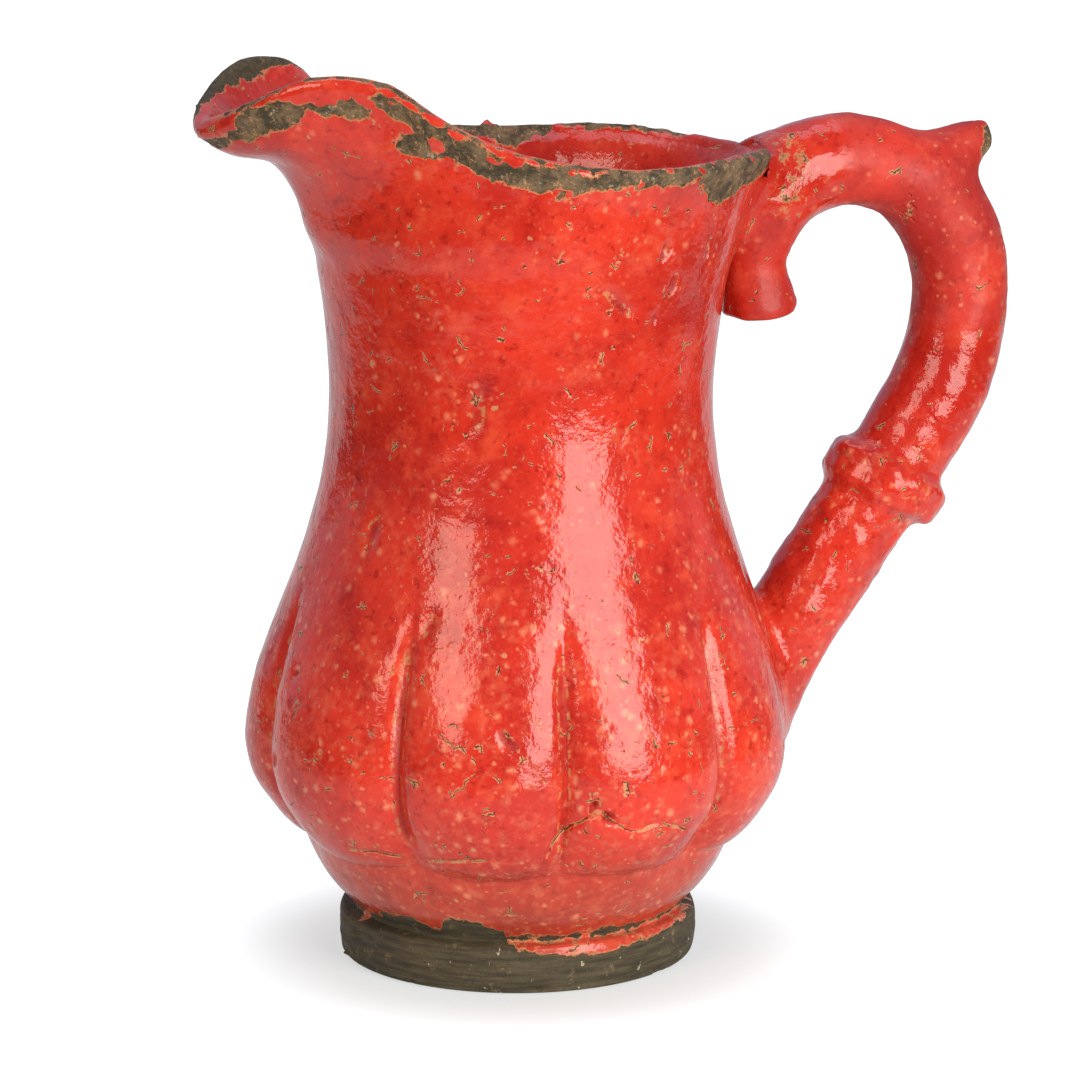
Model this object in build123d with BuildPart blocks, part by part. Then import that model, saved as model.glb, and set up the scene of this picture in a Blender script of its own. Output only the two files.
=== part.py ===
from build123d import *
from math import cos, exp, hypot, radians, sin
import os

os.makedirs("parts", exist_ok=True)

# ---------------------------------------------------------------- driving dimensions, mm
WALL = 6.5  # thrown wall thickness
FOOT_R = 47.8  # outside radius of the foot ring
FOOT_BORE = 38.0  # inside radius of the foot ring
FOOT_H = 13.0  # height of the foot ring
BOSS_DROP = 4.0  # how far the cup's underside drops into the foot ring
GROOVE_R = 44.5  # radius of the undercut just above the foot ring
CUP_TOP_Z = 33.0  # ledge where the lobed belly sits on the cup
CUP_TOP_R = 57.2
BELLY_TOP_Z = 112.0  # seam between the belly and the neck
BELLY_TOP_R = 57.2
LOBES = 10
LOBE_PHASE = -7.5  # direction of the lobe nearest the handle, degrees
TONGUE_H = 3.0  # height of the register tongue at each seam
CUP_TONGUE_R = 54.2
BELLY_TONGUE_R = 54.0
CAVITY_FLOOR_Z = 17.0
SPOUT_TURN = 7.0  # the spout is set this many degrees off the handle's plane
TUBE_R = 13.0  # handle rod radius in the grip

# ---------------------------------------------------------------- lobed belly stations
# height, radius at the lobe crests, radius in the grooves
BELLY = [
    (33.0, 59.8, CUP_TOP_R),
    (38.0, 64.0, 60.2),
    (43.0, 67.6, 63.0),
    (49.0, 70.8, 66.2),
    (57.0, 72.8, 68.3),
    (66.0, 72.3, 68.2),
    (75.0, 70.4, 66.9),
    (84.0, 67.7, 65.1),
    (93.0, 64.4, 62.9),
    (102.5, 60.7, 60.1),
    (112.0, BELLY_TOP_R, BELLY_TOP_R),
]

# inside of the cup and belly: height, radius
CAVITY = [
    (21.0, 41.5),
    (27.0, 46.8),
    (34.0, 51.6),
    (43.0, 57.0),
    (50.0, 60.2),
    (59.0, 61.9),
    (72.0, 61.0),
    (86.0, 57.4),
    (98.0, 54.0),
    (112.0, BELLY_TOP_R - WALL),
]

# ---------------------------------------------------------------- neck, rim and spout
# mean outside radius of the neck by height
NECK_MEAN = [
    (112.0, BELLY_TOP_R),
    (122.0, 54.1),
    (134.0, 51.7),
    (148.0, 50.5),
    (158.0, 50.7),
    (170.0, 52.0),
    (182.0, 54.4),
    (196.0, 56.4),
    (214.0, 58.4),
    (246.0, 60.5),
]
# round the rim, measured from the side opposite the spout:
# angle, rim height, flare of the rim, extra reach of the beak
RIM = [
    (0.0, 212.5, 10.0, 0.0),
    (40.0, 214.5, 4.6, 0.0),
    (80.0, 215.0, 1.6, 0.0),
    (110.0, 219.0, 0.4, 0.0),
    (130.0, 227.5, 1.0, 0.0),
    (145.0, 236.0, 4.0, 1.0),
    (158.0, 238.0, 9.6, 5.5),
    (170.0, 231.5, 10.0, 14.5),
    (180.0, 226.5, 10.0, 18.5),
]
FLARE_START_Z = 184.0
BEAK_MID_Z = 216.0  # level of the beak's nearly flat underside
# rim height along the spout axis, from behind the handle to beyond the tip
RIM_LINE = [
    (110.0, 210.5),
    (68.0, 212.3),
    (48.0, 214.6),
    (10.0, 214.9),
    (-20.0, 219.0),
    (-38.0, 227.2),
    (-53.0, 236.2),
    (-66.0, 238.6),
    (-80.0, 232.6),
    (-88.0, 226.0),
    (-102.0, 213.0),
]

# ---------------------------------------------------------------- handle rod stations
# distance from the vessel axis, height, rod radius
ROD = [
    (67.2, 172.6, 9.9),
    (66.2, 181.5, 8.8),
    (66.6, 189.5, 9.6),
    (70.5, 199.0, 11.2),
    (79.5, 206.0, 11.8),
    (93.0, 209.2, 11.5),
    (105.0, 206.2, 11.9),
    (114.5, 199.4, 12.7),
    (121.5, 188.6, TUBE_R),
    (124.3, 175.0, TUBE_R),
    (122.8, 160.0, TUBE_R),
    (117.5, 145.0, TUBE_R),
    (109.0, 130.5, TUBE_R),
    (99.0, 116.5, TUBE_R),
    (88.8, 102.0, TUBE_R),
    (79.8, 88.0, 12.8),
    (72.0, 73.0, 12.0),
    (65.5, 58.0, 11.2),
]


def smooth(table, x, col=1):
    """Smooth look-up in a list of stations: cubic pieces with shared slopes."""
    x = min(max(x, table[0][0]), table[-1][0])
    n = len(table)
    i = max(k for k in range(n - 1) if table[k][0] <= x)

    def slope(k):
        lo, hi = table[max(0, k - 1)], table[min(n - 1, k + 1)]
        return (hi[col] - lo[col]) / (hi[0] - lo[0])

    h = table[i + 1][0] - table[i][0]
    t = (x - table[i][0]) / h
    y0, y1 = table[i][col], table[i + 1][col]
    m0, m1 = slope(i) * h, slope(i + 1) * h
    return (
        y0 * (2 * t**3 - 3 * t**2 + 1) + m0 * (t**3 - 2 * t**2 + t)
        + y1 * (3 * t**2 - 2 * t**3) + m1 * (t**3 - t**2)
    )


def neck_radius(ang, z):
    """Outside radius of the neck at an angle from the side opposite the spout."""
    rim_z, flare, beak = (smooth(RIM, ang, c) for c in (1, 2, 3))
    t = max(0.0, (z - FLARE_START_Z) / (rim_z - FLARE_START_Z))
    t = t**2 if t < 1.0 else 1.0 + 0.6 * (t - 1.0)
    reach = 1.0 / (1.0 + exp(-(z - BEAK_MID_Z) / 1.6))
    lean = 0.03 * max(0.0, z - 112.0) * cos(radians(ang))
    return smooth(NECK_MEAN, z) + flare * t + beak * reach + lean


def ring_points(z, inset=0.0, lift=0.0):
    """Closed ring of points on the neck at height z, in the handle frame."""
    half = [r[0] for r in RIM]
    angles = half + [360.0 - a for a in reversed(half[1:-1])]
    pts = []
    for a in angles:
        fold = a if a <= 180.0 else 360.0 - a
        drop = lift * max(0.0, (fold - 120.0) / 60.0)
        r = neck_radius(fold, max(BELLY_TOP_Z, z - drop)) - inset
        d = radians(a + SPOUT_TURN)
        pts.append((r * cos(d), r * sin(d)))
    return pts


def neck_core(zs, inset=0.0, lift=0.0):
    with BuildPart() as core:
        for z in zs:
            with BuildSketch(Plane.XY.offset(z)):
                with BuildLine():
                    Spline(*ring_points(z, inset, lift), periodic=True)
                make_face()
        loft()
    return core.part


def lobed_face(z, crest, groove):
    """One cross-section of the belly: LOBES arcs meeting in creases."""
    step = 360.0 / LOBES
    with BuildSketch(Plane.XY.offset(z)) as face:
        with BuildLine():
            for i in range(LOBES):
                a0 = radians(LOBE_PHASE + step * (i - 0.5))
                a1 = radians(LOBE_PHASE + step * i)
                a2 = radians(LOBE_PHASE + step * (i + 0.5))
                ThreePointArc(
                    (groove * cos(a0), groove * sin(a0)),
                    (crest * cos(a1), crest * sin(a1)),
                    (groove * cos(a2), groove * sin(a2)),
                )
        make_face()
    return face.sketch


def rod_plane(x, z, dx, dz):
    """Plane square to the handle's path at one point of it."""
    return Plane(origin=(x, 0, z), x_dir=(0, 1, 0), z_dir=(dx, 0, dz))


def rod_dirs(path):
    dirs = []
    for i in range(len(path)):
        a, b = path[max(0, i - 1)], path[min(len(path) - 1, i + 1)]
        n = hypot(b[0] - a[0], b[1] - a[1])
        dirs.append(((b[0] - a[0]) / n, (b[1] - a[1]) / n))
    return dirs


# ---------------------------------------------------------------- foot ring
with BuildPart() as foot_ring:
    with BuildSketch(Plane.XZ):
        with BuildLine():
            Polyline((FOOT_BORE, FOOT_H), (FOOT_BORE, 1.0), (FOOT_BORE + 1.0, 0), (FOOT_R - 1.2, 0))
            Spline((FOOT_R - 1.2, 0), (FOOT_R, 3.5), (FOOT_R - 0.4, FOOT_H - 2.5), (GROOVE_R + 0.6, FOOT_H))
            Line((GROOVE_R + 0.6, FOOT_H), (FOOT_BORE, FOOT_H))
        make_face()
    revolve(axis=Axis.Z)
foot_ring.part.label = "foot_ring"

# ---------------------------------------------------------------- inside of the bowl
with BuildPart() as cavity:
    with BuildSketch(Plane.XZ):
        with BuildLine():
            Line((0, CAVITY_FLOOR_Z), (32.0, CAVITY_FLOOR_Z))
            Spline((32.0, CAVITY_FLOOR_Z), *[(r, z) for z, r in CAVITY])
            top_r = BELLY_TOP_R - WALL
            Polyline((top_r, BELLY_TOP_Z), (top_r, BELLY_TOP_Z + 8), (0, BELLY_TOP_Z + 8))
            Line((0, BELLY_TOP_Z + 8), (0, CAVITY_FLOOR_Z))
        make_face()
    revolve(axis=Axis.Z)

# ---------------------------------------------------------------- lower cup and floor
with BuildPart() as base_cup:
    with BuildSketch(Plane.XZ):
        with BuildLine():
            Polyline(
                (0, FOOT_H - BOSS_DROP), (FOOT_BORE, FOOT_H - BOSS_DROP),
                (FOOT_BORE, FOOT_H), (GROOVE_R, FOOT_H), (GROOVE_R, FOOT_H + 2.0),
            )
            Spline((GROOVE_R, FOOT_H + 2.0), (48.4, 18.5), (52.4, 23.5), (CUP_TOP_R, CUP_TOP_Z))
            Polyline(
                (CUP_TOP_R, CUP_TOP_Z), (CUP_TONGUE_R, CUP_TOP_Z),
                (CUP_TONGUE_R, CUP_TOP_Z + TONGUE_H), (0, CUP_TOP_Z + TONGUE_H),
                (0, FOOT_H - BOSS_DROP),
            )
        make_face()
    revolve(axis=Axis.Z)
    add(cavity.part, mode=Mode.SUBTRACT)
base_cup.part.label = "base_cup"

# ---------------------------------------------------------------- lobed belly
with BuildPart() as belly_core:
    for z, crest, groove in BELLY:
        add(lobed_face(z, crest, groove))
    loft()

with BuildPart() as lobed_belly:
    add(belly_core.part)
    with Locations((0, 0, BELLY_TOP_Z)):
        Cylinder(BELLY_TONGUE_R, TONGUE_H, align=(Align.CENTER, Align.CENTER, Align.MIN))
    with Locations((0, 0, CUP_TOP_Z)):
        Cylinder(
            CUP_TONGUE_R, TONGUE_H, mode=Mode.SUBTRACT,
            align=(Align.CENTER, Align.CENTER, Align.MIN),
        )
    add(cavity.part, mode=Mode.SUBTRACT)
lobed_belly.part.label = "lobed_belly"

# ---------------------------------------------------------------- neck, flared rim and spout
OUTER_Z = [112, 122, 132, 142, 152, 162, 172, 181, 189, 196, 202, 207, 212, 217, 222, 228, 235, 243]
INNER_Z = [112, 122, 132, 142, 152, 162, 172, 181, 189, 196, 202, 208, 214, 220, 226, 232, 239, 247]
neck_outer = neck_core(OUTER_Z)
neck_inner = neck_core(INNER_Z, inset=WALL - 0.6, lift=4.5)

with BuildPart() as neck:
    add(neck_outer)
    add(neck_inner, mode=Mode.SUBTRACT)
    with Locations((0, 0, BELLY_TOP_Z)):
        Cylinder(
            BELLY_TONGUE_R, TONGUE_H, mode=Mode.SUBTRACT,
            align=(Align.CENTER, Align.CENTER, Align.MIN),
        )
    # the rim line is cut through both sides of the jug at once
    turn = radians(SPOUT_TURN)
    with BuildSketch(Plane((0, 0, 0), x_dir=(cos(turn), sin(turn), 0), z_dir=(sin(turn), -cos(turn), 0))):
        with BuildLine():
            Spline(*RIM_LINE)
            Polyline(RIM_LINE[-1], (RIM_LINE[-1][0], 270), (RIM_LINE[0][0], 270), RIM_LINE[0])
        make_face()
    extrude(amount=120, both=True, mode=Mode.SUBTRACT)
neck.part.label = "neck"

# outside of the whole vessel, used to cope the handle to the wall
with BuildPart() as vessel_outer:
    add(belly_core.part)
    add(neck_outer)

# ---------------------------------------------------------------- handle rod
dirs = rod_dirs(ROD)
with BuildPart() as rod:
    for (x, z, r), (dx, dz) in zip(ROD, dirs):
        with BuildSketch(rod_plane(x, z, dx, dz)):
            Circle(r)
    loft()
    # hoof-shaped end: a low dome under the first station
    with BuildSketch(rod_plane(ROD[0][0], ROD[0][1], *dirs[0])):
        Circle(ROD[0][2])
    with BuildSketch(Plane.XY.offset(168.2).shift_origin((67.4, 0, 168.2))):
        Circle(7.2)
    loft()

with BuildPart() as handle:
    add(rod.part)
    add(vessel_outer.part, mode=Mode.SUBTRACT)
handle.part.label = "handle"

# ---------------------------------------------------------------- wrapped collar on the grip
COLLAR_C = (103.4, 121.4)  # centre of the knuckle on the handle path
COLLAR_DIR = (0.50, 0.866)  # direction through the band, steeper than the rod
COLLAR = [(-6.5, 13.9), (-4.0, 16.0), (0.5, 17.4), (4.5, 16.2), (7.0, 13.9)]

with BuildPart() as collar:
    for s, r in COLLAR:
        with BuildSketch(
            rod_plane(COLLAR_C[0] + s * COLLAR_DIR[0], COLLAR_C[1] + s * COLLAR_DIR[1], *COLLAR_DIR)
        ):
            Ellipse(min(r, 15.8), r)
    loft()
    add(rod.part, mode=Mode.SUBTRACT)
collar.part.label = "handle_collar"

# ---------------------------------------------------------------- thorn on the outer corner
SPUR = [
    ((113.5, 202.5), (0.80, 0.60), 9.5, 10.0),
    ((120.5, 208.6), (0.80, 0.60), 7.6, 8.2),
    ((126.2, 213.4), (0.86, 0.50), 4.6, 4.2),
    ((131.4, 216.6), (0.90, 0.44), 2.0, 1.5),
]
with BuildPart() as spur:
    for (x, z), (dx, dz), wide, thick in SPUR:
        with BuildSketch(rod_plane(x, z, dx, dz)):
            Ellipse(wide, thick)
    loft()
    add(rod.part, mode=Mode.SUBTRACT)
spur.part.label = "handle_spur"

# ---------------------------------------------------------------- slip fillets at the joints
with BuildPart() as upper_lute:
    for x, z, wide, tall in ((52.0, 199.0, 17.0, 16.5), (64.0, 201.0, 14.4, 14.6),
                             (73.0, 203.6, 11.9, 12.3), (80.0, 206.0, 9.0, 9.0)):
        with BuildSketch(Plane(origin=(x, 0, z), x_dir=(0, 1, 0), z_dir=(0.96, 0, 0.28))):
            Ellipse(wide, tall)
    loft()
    add(neck_outer, mode=Mode.SUBTRACT)
    add(rod.part, mode=Mode.SUBTRACT)
upper_lute.part.label = "upper_lute"

with BuildPart() as lower_lute:
    for x, z, wide, tall in ((58.0, 68.0, 17.5, 24.0), (68.0, 76.5, 15.8, 20.0),
                             (77.0, 85.5, 13.6, 15.2), (84.0, 94.0, 10.0, 10.0)):
        with BuildSketch(Plane(origin=(x, 0, z), x_dir=(0, 1, 0), z_dir=(0.78, 0, 0.62))):
            Ellipse(wide, tall)
    loft()
    add(belly_core.part, mode=Mode.SUBTRACT)
    add(rod.part, mode=Mode.SUBTRACT)
lower_lute.part.label = "lower_lute"

# ---------------------------------------------------------------- export
for piece in (foot_ring, base_cup, lobed_belly, neck, handle, collar, spur, upper_lute, lower_lute):
    export_step(piece.part, f"parts/{piece.part.label}.step")
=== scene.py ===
import math

import bpy
import numpy as np
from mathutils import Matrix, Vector


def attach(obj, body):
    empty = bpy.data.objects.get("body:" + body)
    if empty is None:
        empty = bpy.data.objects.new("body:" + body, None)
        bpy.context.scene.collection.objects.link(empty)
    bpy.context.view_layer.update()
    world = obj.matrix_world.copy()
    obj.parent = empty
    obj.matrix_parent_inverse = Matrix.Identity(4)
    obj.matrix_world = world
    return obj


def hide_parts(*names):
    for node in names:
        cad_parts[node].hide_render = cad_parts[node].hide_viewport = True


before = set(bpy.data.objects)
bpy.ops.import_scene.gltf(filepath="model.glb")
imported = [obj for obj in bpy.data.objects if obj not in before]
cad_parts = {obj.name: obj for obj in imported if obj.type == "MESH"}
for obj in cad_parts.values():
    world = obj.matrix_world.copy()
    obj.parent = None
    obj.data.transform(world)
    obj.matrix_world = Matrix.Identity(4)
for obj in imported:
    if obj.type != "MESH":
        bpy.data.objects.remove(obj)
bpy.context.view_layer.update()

MM = 0.001
SPOUT_OFF = 7.0  # degrees: the beak was pulled a little off the handle's plane
SPOUT_TURN = math.radians(SPOUT_OFF)
COLS = 480  # columns round the vessel


# ------------------------------------------------------------------ small numeric tools
def hermite(xs, ys, x):
    """Smooth curve through stations: cubic pieces with shared slopes (vectorised)."""
    xs, ys, x = np.asarray(xs, float), np.asarray(ys, float), np.asarray(x, float)
    m = np.empty_like(ys)
    m[1:-1] = (ys[2:] - ys[:-2]) / (xs[2:] - xs[:-2])[(...,) + (None,) * (ys.ndim - 1)]
    m[0] = (ys[1] - ys[0]) / (xs[1] - xs[0])
    m[-1] = (ys[-1] - ys[-2]) / (xs[-1] - xs[-2])
    x = np.clip(x, xs[0], xs[-1])
    i = np.clip(np.searchsorted(xs, x, side="right") - 1, 0, len(xs) - 2)
    h = xs[i + 1] - xs[i]
    t = (x - xs[i]) / h
    if ys.ndim > 1:
        t, h = t[..., None], h[..., None]
    return (
        ys[i] * (2 * t**3 - 3 * t**2 + 1) + m[i] * h * (t**3 - 2 * t**2 + t)
        + ys[i + 1] * (3 * t**2 - 2 * t**3) + m[i + 1] * h * (t**3 - t**2)
    )


def smoothstep(a, b, x):
    t = np.clip((x - a) / (b - a), 0.0, 1.0)
    return t * t * (3 - 2 * t)


LATTICE = np.random.RandomState(11).rand(48, 48, 48)


def vnoise(p, size, seed=0):
    """Smooth value noise, 0 to 1. p is (..., 3) in mm and size is the feature size in mm."""
    q = p / size + np.array([13.7, 5.1, 29.3]) * (seed + 1)
    i = np.floor(q).astype(int)
    f = q - i
    f = f * f * f * (f * (f * 6 - 15) + 10)
    out = 0.0
    for dx in (0, 1):
        for dy in (0, 1):
            for dz in (0, 1):
                w = (
                    (f[..., 0] if dx else 1 - f[..., 0])
                    * (f[..., 1] if dy else 1 - f[..., 1])
                    * (f[..., 2] if dz else 1 - f[..., 2])
                )
                j = (i + (dx, dy, dz)) % 48
                out = out + w * LATTICE[j[..., 0], j[..., 1], j[..., 2]]
    return out


def fbm(p, size, seed=0, octaves=3, fall=0.5):
    total, norm, amp = 0.0, 0.0, 1.0
    for k in range(octaves):
        total = total + amp * (vnoise(p, size / 2**k, seed + 7 * k) - 0.5)
        norm += amp
        amp *= fall
    return total / norm


# ------------------------------------------------------------------ the vessel's outside
def lean(z):
    """The thrown body leans a little towards the handle."""
    heights = [0, 35, 55, 80, 100, 140, 175, 190, 250]
    shifts = [0, 0.4, 0.6, 0.6, 1.1, 1.2, 1.8, 2.4, 2.4]
    return hermite(heights, shifts, z)


# height, radius
CUP = [
    (13.0, 44.4), (14.4, 44.6), (16.6, 46.6), (19.4, 49.3), (22.5, 51.7), (26.5, 54.2),
    (30.0, 56.0), (33.0, 57.2),
]
# height, radius on a lobe's crest, radius in the groove between two lobes
BELLY = [
    (33.0, 57.2, 57.0), (33.7, 58.9, 57.4), (35.2, 61.0, 58.2), (38.0, 63.9, 60.0),
    (42.0, 67.0, 62.4), (46.5, 69.8, 65.0), (52.0, 72.0, 67.2), (58.5, 72.9, 68.4),
    (66.0, 72.2, 68.2), (75.0, 70.3, 66.9), (84.0, 67.6, 65.0), (93.0, 64.3, 62.8),
    (102.5, 60.6, 60.0), (112.0, 57.1, 57.1),
]
# the pressed grooves, in degrees from the handle
GROOVES = [-177.0, -132.5, -95.3, -55.5, -20.0, 15.0, 50.0, 84.0, 117.0, 150.0]
# neck: control points (radius, height) up each meridian, by angle from opposite the spout
NECK_LOW = [(57.1, 112.0), (52.7, 128.0), (50.5, 150.0), (52.0, 170.0), (54.4, 186.0)]
NECK_KEYS = {
    0: [(59.9, 194.0), (63.3, 200.0), (65.9, 204.0), (67.8, 206.8), (69.0, 208.9)],
    40: [(58.0, 195.5), (59.7, 202.5), (61.2, 207.0), (62.5, 209.7), (63.6, 211.7)],
    80: [(56.6, 196.5), (57.8, 203.0), (59.0, 207.0), (60.1, 209.3), (61.0, 211.2)],
    110: [(55.9, 197.5), (56.4, 205.5), (57.4, 211.0), (58.5, 213.8), (59.4, 215.9)],
    130: [(55.6, 199.0), (56.2, 208.0), (57.6, 215.5), (59.3, 220.6), (60.6, 223.8)],
    145: [(55.4, 200.0), (56.8, 210.0), (59.5, 220.0), (62.4, 229.0), (64.3, 233.4)],
    158: [(56.0, 201.0), (59.0, 210.5), (64.2, 219.0), (70.6, 228.0), (74.0, 234.0)],
    170: [(57.2, 201.0), (61.4, 209.8), (67.4, 215.4), (76.6, 219.4), (82.8, 225.0)],
    180: [(58.6, 201.0), (62.6, 209.6), (67.6, 214.2), (78.6, 216.7), (85.4, 219.9)],
}
LIP_R = 2.5
ROWS_PER_SPAN = 13

psi = np.arange(COLS) * 2 * math.pi / COLS  # handle frame, 0 is the handle
turn = (psi - SPOUT_TURN + math.pi) % (2 * math.pi) - math.pi  # 0 is opposite the spout
fold = np.degrees(np.abs(turn))


def lobe_shape(angle):
    """0 on a lobe's crest, 1 in the groove beside it, and the distance from that groove in mm."""
    g = np.radians(GROOVES + [GROOVES[0] + 360])
    a = g[0] + (angle - g[0]) % (2 * math.pi)
    k = np.searchsorted(g, a, side="right") - 1
    span = g[k + 1] - g[k]
    t = (a - g[k]) / span
    return np.abs(2 * t - 1) ** 2.3, np.minimum(t, 1 - t) * span * 69.0


def meridians():
    """Radius and height of the outside for every row and column, cup to lip edge."""
    cup = np.array(CUP)
    t = np.linspace(0, len(cup) - 1, 30)
    cup_rz = hermite(np.arange(len(cup)), cup, t)
    scallop = 2.6 * lobe_shape(psi)[0][None] * smoothstep(24, 33, cup_rz[:, :1])
    rows_z = [cup_rz[:, :1] + scallop]
    rows_r = [np.repeat(cup_rz[:, 1:], COLS, 1)]
    n_cup = len(t)

    bel = np.array(BELLY)
    t = np.concatenate([np.linspace(0, 3, 17)[:-1], np.linspace(3, len(bel) - 1, 88)])
    b = hermite(np.arange(len(bel)), bel, t)
    g, away = [v[None] for v in lobe_shape(psi)]
    z = b[:, :1]
    crease = smoothstep(37, 47, z) * (1 - smoothstep(88, 103, z))
    rows_r.append(b[:, 1:2] * (1 - g) + b[:, 2:3] * g - 1.7 * crease * np.exp(-((away / 2.1) ** 2)))
    # the lobes' lower ends are scalloped: they reach lowest in the middle
    rows_z.append(z + 2.6 * g * (1 - smoothstep(36, 54, z)))
    n_belly = len(t)

    keys = sorted(NECK_KEYS)
    table = np.array([[[r, z] for r, z in NECK_KEYS[k]] for k in keys])  # key, point, rz
    wrap = [-k for k in reversed(keys[1:])] + keys + [360 - k for k in reversed(keys[:-1])]
    both = np.concatenate([table[1:][::-1], table, table[:-1][::-1]])
    high = hermite(wrap, both.reshape(len(wrap), -1), fold).reshape(COLS, 5, 2)
    low = np.array(NECK_LOW)
    ghost = np.array([[60.6, 102.5]])
    ctrl = np.concatenate(
        [np.repeat(np.concatenate([ghost, low])[None], COLS, 0), high], axis=1
    )  # column, point, rz
    d = np.linalg.norm(np.diff(ctrl, axis=1), axis=2)
    m = np.zeros_like(ctrl)
    m[:, 1:-1] = (ctrl[:, 2:] - ctrl[:, :-2]) / (d[:, 1:] + d[:, :-1])[..., None]
    m[:, -1] = (ctrl[:, -1] - ctrl[:, -2]) / d[:, -1:]
    rz = []
    for s in range(1, ctrl.shape[1] - 1):
        t = (np.arange(ROWS_PER_SPAN) / ROWS_PER_SPAN)[:, None, None]
        h = d[None, :, s, None]
        a, c = ctrl[None, :, s], ctrl[None, :, s + 1]
        ma, mc = m[None, :, s] * h, m[None, :, s + 1] * h
        rz.append(
            a * (2 * t**3 - 3 * t**2 + 1) + ma * (t**3 - 2 * t**2 + t)
            + c * (3 * t**2 - 2 * t**3) + mc * (t**3 - t**2)
        )
    rz.append(ctrl[None, :, -1])
    rz = np.concatenate(rz)
    rows_r.append(rz[1:, :, 0])
    rows_z.append(rz[1:, :, 1])
    return np.concatenate(rows_r), np.concatenate(rows_z), n_cup, n_belly


def to_xyz(r, z):
    """Rows of radius and height to points in the handle frame, in mm."""
    shift = lean(z)
    # the beak and the rim's flare are given from the vessel's axis, so the lean fades there
    fade = 1 - smoothstep(186, 198, z)
    x = r * np.cos(psi)[None] + shift * fade * math.cos(SPOUT_TURN)
    y = r * np.sin(psi)[None] + shift * fade * math.sin(SPOUT_TURN)
    return np.stack([x, y, z + 0 * x], -1)


def grid_normals(p):
    du = np.roll(p, -1, 1) - np.roll(p, 1, 1)
    dv = np.empty_like(p)
    dv[1:-1] = p[2:] - p[:-2]
    dv[0], dv[-1] = p[1] - p[0], p[-1] - p[-2]
    n = np.cross(du, dv)
    return n / np.maximum(np.linalg.norm(n, axis=-1, keepdims=True), 1e-9)


# dents and gouges in the outside: degrees from the handle, height, half length, half width,
# lean of the long side from level in degrees, depth
DENTS = [
    (-63.5, 193.0, 3.6, 1.2, 80, 1.9), (-59.0, 184.0, 3.4, 1.5, 75, 1.5),
    (-64.2, 175.6, 1.8, 0.8, 90, 1.4), (-76.7, 180.4, 6.2, 1.2, -36, 1.2),
    (-46.0, 191.0, 5.4, 1.0, 78, 1.3), (-42.0, 200.2, 1.2, 1.0, 90, 1.3),
    (-99.6, 195.5, 1.1, 1.0, 0, 0.8), (-107.5, 73.0, 4.4, 1.9, -52, 1.5),
    (-165.0, 82.8, 2.4, 1.8, 30, 0.8), (-169.0, 58.5, 2.4, 2.0, 60, 1.1),
    (-89.3, 55.6, 2.8, 1.4, 80, 2.1), (-86.6, 52.3, 2.6, 1.1, -35, 2.0),
    (-118.0, 152.0, 7.0, 3.0, 70, 0.6), (-150.0, 120.0, 6.0, 3.0, 80, 0.7),
    (-128.0, 100.0, 5.0, 2.4, 60, 0.6), (-30.0, 60.0, 3.5, 1.6, 20, 0.9),
    (20.0, 90.0, 4.5, 1.8, 60, 1.0), (70.0, 150.0, 5.0, 1.6, 75, 1.0),
    (100.0, 60.0, 4.0, 2.0, -30, 1.1), (140.0, 130.0, 4.5, 1.5, 70, 0.9),
    (165.0, 75.0, 3.0, 1.8, 0, 0.9), (50.0, 185.0, 3.2, 1.4, 80, 1.0),
    (120.0, 190.0, 2.6, 1.4, 60, 0.9),
]
# cracks: points (degrees from the handle, height)
CRACKS = [
    [(-98.6, 42.0), (-97.2, 46.0), (-94.0, 49.4), (-90.4, 52.8), (-88.2, 54.2), (-85.4, 51.4),
     (-82.6, 49.0), (-79.2, 48.0), (-76.7, 49.0), (-74.5, 49.6), (-70.6, 47.6), (-66.5, 45.8)],
    [(-128.5, 38.2), (-124.0, 38.9), (-119.0, 40.0), (-113.5, 40.8)],
    [(-148.0, 38.6), (-142.0, 39.4), (-137.0, 38.0)],
    [(62.0, 44.0), (68.0, 46.5), (73.0, 44.5), (80.0, 46.0), (86.0, 42.5)],
    [(128.0, 70.0), (131.0, 64.0), (129.5, 58.0), (133.0, 53.0)],
]


def wall_place(p):
    """Degrees from the handle, -180 to 180, and height."""
    return np.degrees(np.arctan2(p[..., 1], p[..., 0])), p[..., 2]


def dents(p):
    """Total depth pressed in by DENTS, mm."""
    ang, z = wall_place(p)
    rad = np.hypot(p[..., 0], p[..., 1])
    rough = 1 + 0.9 * fbm(p, 2.6, 14, 2)
    aside, above = 2.2 * fbm(p, 3.4, 16, 3), 2.2 * fbm(p, 3.4, 17, 3)
    total = 0.0
    for a0, z0, long, wide, tilt, deep in DENTS:
        across = np.radians((ang - a0 + 180) % 360 - 180) * rad + aside
        up = z - z0 + above
        t = math.radians(tilt)
        u = (across * math.cos(t) + up * math.sin(t)) / long
        w = (-across * math.sin(t) + up * math.cos(t)) / wide
        total = total + deep * rough * (1 - smoothstep(0.2, 1.25, np.hypot(u, w)))
    return total


def crease_shade(p):
    """Painted shade down the grooves between the lobes: how much darker each point is made."""
    ang, z = wall_place(p)
    away = lobe_shape(np.radians(ang))[1] + 0.8 * fbm(p, 6.0, 18, 2)
    along = smoothstep(38, 46, z) * (1 - smoothstep(84, 100, z))
    return 0.85 * along * np.exp(-((away / 1.7) ** 2))


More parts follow.
